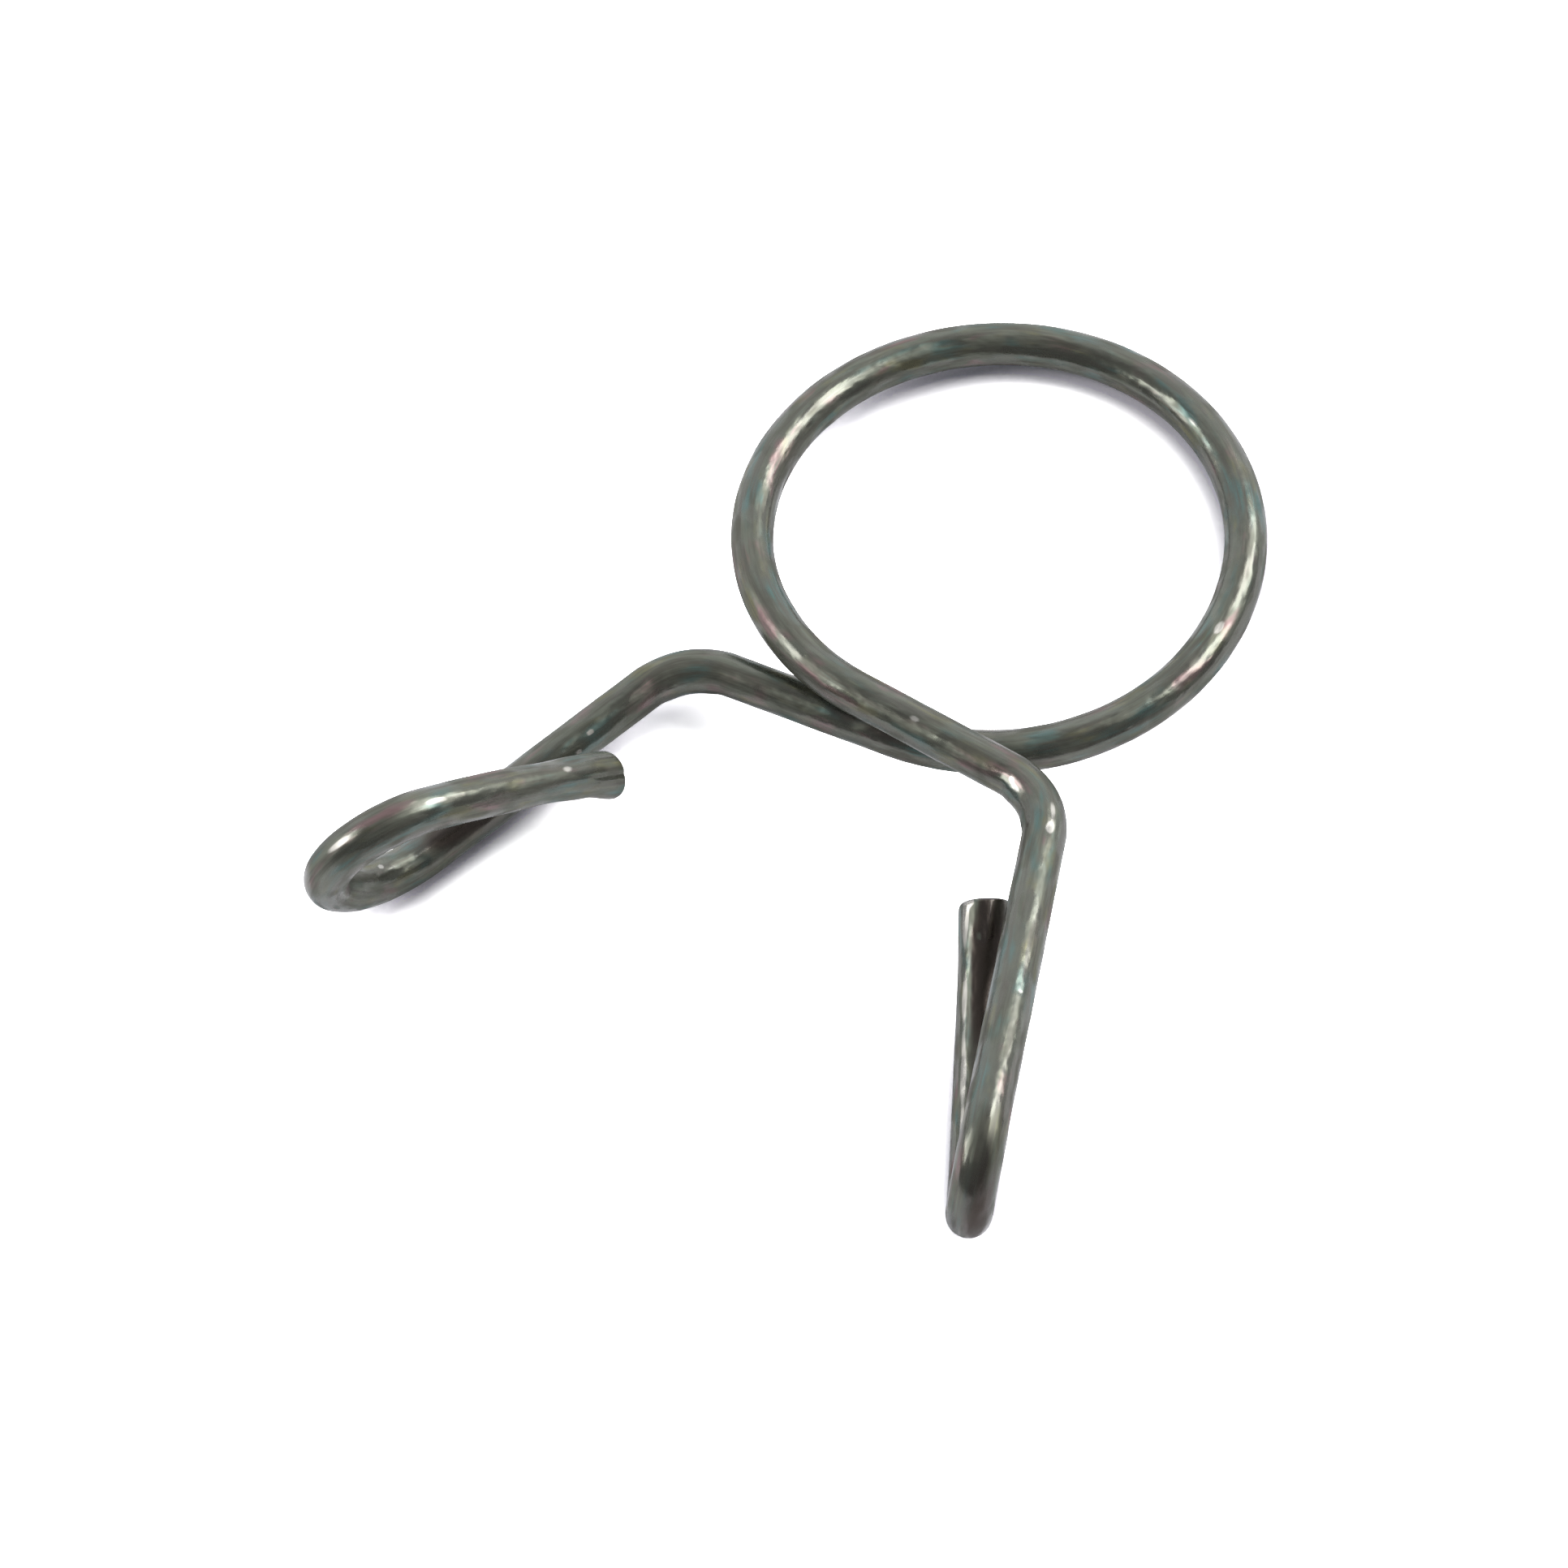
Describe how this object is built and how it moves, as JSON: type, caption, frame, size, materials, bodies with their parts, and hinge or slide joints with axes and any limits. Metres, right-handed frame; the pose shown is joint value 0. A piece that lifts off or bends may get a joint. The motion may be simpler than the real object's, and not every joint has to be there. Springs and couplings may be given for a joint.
{
  "type": "spring wire hose clip",
  "caption": "Spring wire hose clip: a round hoop of steel wire whose crossed ends run out into folded finger tabs; squeezing the tabs opens the hoop.",
  "frame": {"origin": "centre of the relaxed hoop", "axes": "+Z along the hose that the hoop grips, +Y from the crossing towards the crown of the hoop, +X towards the tab of the wire end that passes over"},
  "size_m": [0.0263, 0.0338, 0.0074],
  "materials": {
    "spring_wire": "blackened drawn spring wire with an oily sheen"
  },
  "bodies": {
    "crown": {"hoop_crown": "spring_wire"},
    "over_shoulder": {"over_shoulder": "spring_wire"},
    "over_flank": {"over_flank": "spring_wire"},
    "over_leg": {"over_haunch": "spring_wire", "over_crossing": "spring_wire", "over_elbow": "spring_wire", "over_arm": "spring_wire", "over_fold": "spring_wire", "over_turn": "spring_wire", "over_return": "spring_wire"},
    "under_shoulder": {"under_shoulder": "spring_wire"},
    "under_flank": {"under_flank": "spring_wire"},
    "under_leg": {"under_haunch": "spring_wire", "under_crossing": "spring_wire", "under_elbow": "spring_wire", "under_arm": "spring_wire", "under_fold": "spring_wire", "under_turn": "spring_wire", "under_return": "spring_wire"}
  },
  "joints": [
    {"name": "squeeze", "type": "hinge", "parent": "crown", "child": "over_shoulder", "pos_m": [-0.00354, 0.00855, -0.00004], "axis": [0.0187, -0.0451, -0.9988], "range_deg": [0, 4], "stiffness_Nm_per_rad": 31.2},
    {"name": "over_flank_flex", "type": "hinge", "parent": "over_shoulder", "child": "over_flank", "pos_m": [-0.00855, 0.00354, 0.0001], "axis": [0.0187, -0.0451, -0.9988], "range_deg": [0, 3.4], "stiffness_Nm_per_rad": 0.25},
    {"name": "over_haunch_flex", "type": "hinge", "parent": "over_flank", "child": "over_leg", "pos_m": [-0.00855, -0.00353, 0.00042], "axis": [0.0187, -0.0451, -0.9988], "range_deg": [0, 2.4], "stiffness_Nm_per_rad": 0.25},
    {"name": "under_shoulder_flex", "type": "hinge", "parent": "crown", "child": "under_shoulder", "pos_m": [0.00354, 0.00855, 0.00004], "axis": [-0.0187, -0.0451, 0.9988], "range_deg": [0, 4], "stiffness_Nm_per_rad": 0.25},
    {"name": "under_flank_flex", "type": "hinge", "parent": "under_shoulder", "child": "under_flank", "pos_m": [0.00855, 0.00354, -0.0001], "axis": [-0.0187, -0.0451, 0.9988], "range_deg": [0, 3.4], "stiffness_Nm_per_rad": 0.25},
    {"name": "under_haunch_flex", "type": "hinge", "parent": "under_flank", "child": "under_leg", "pos_m": [0.00855, -0.00353, -0.00042], "axis": [-0.0187, -0.0451, 0.9988], "range_deg": [0, 2.4], "stiffness_Nm_per_rad": 0.25}
  ],
  "couplings": [
    {"joint": "over_flank_flex", "follows": "squeeze", "ratio": 0.85},
    {"joint": "over_haunch_flex", "follows": "squeeze", "ratio": 0.6},
    {"joint": "under_shoulder_flex", "follows": "squeeze", "ratio": 1},
    {"joint": "under_flank_flex", "follows": "squeeze", "ratio": 0.85},
    {"joint": "under_haunch_flex", "follows": "squeeze", "ratio": 0.6}
  ]
}
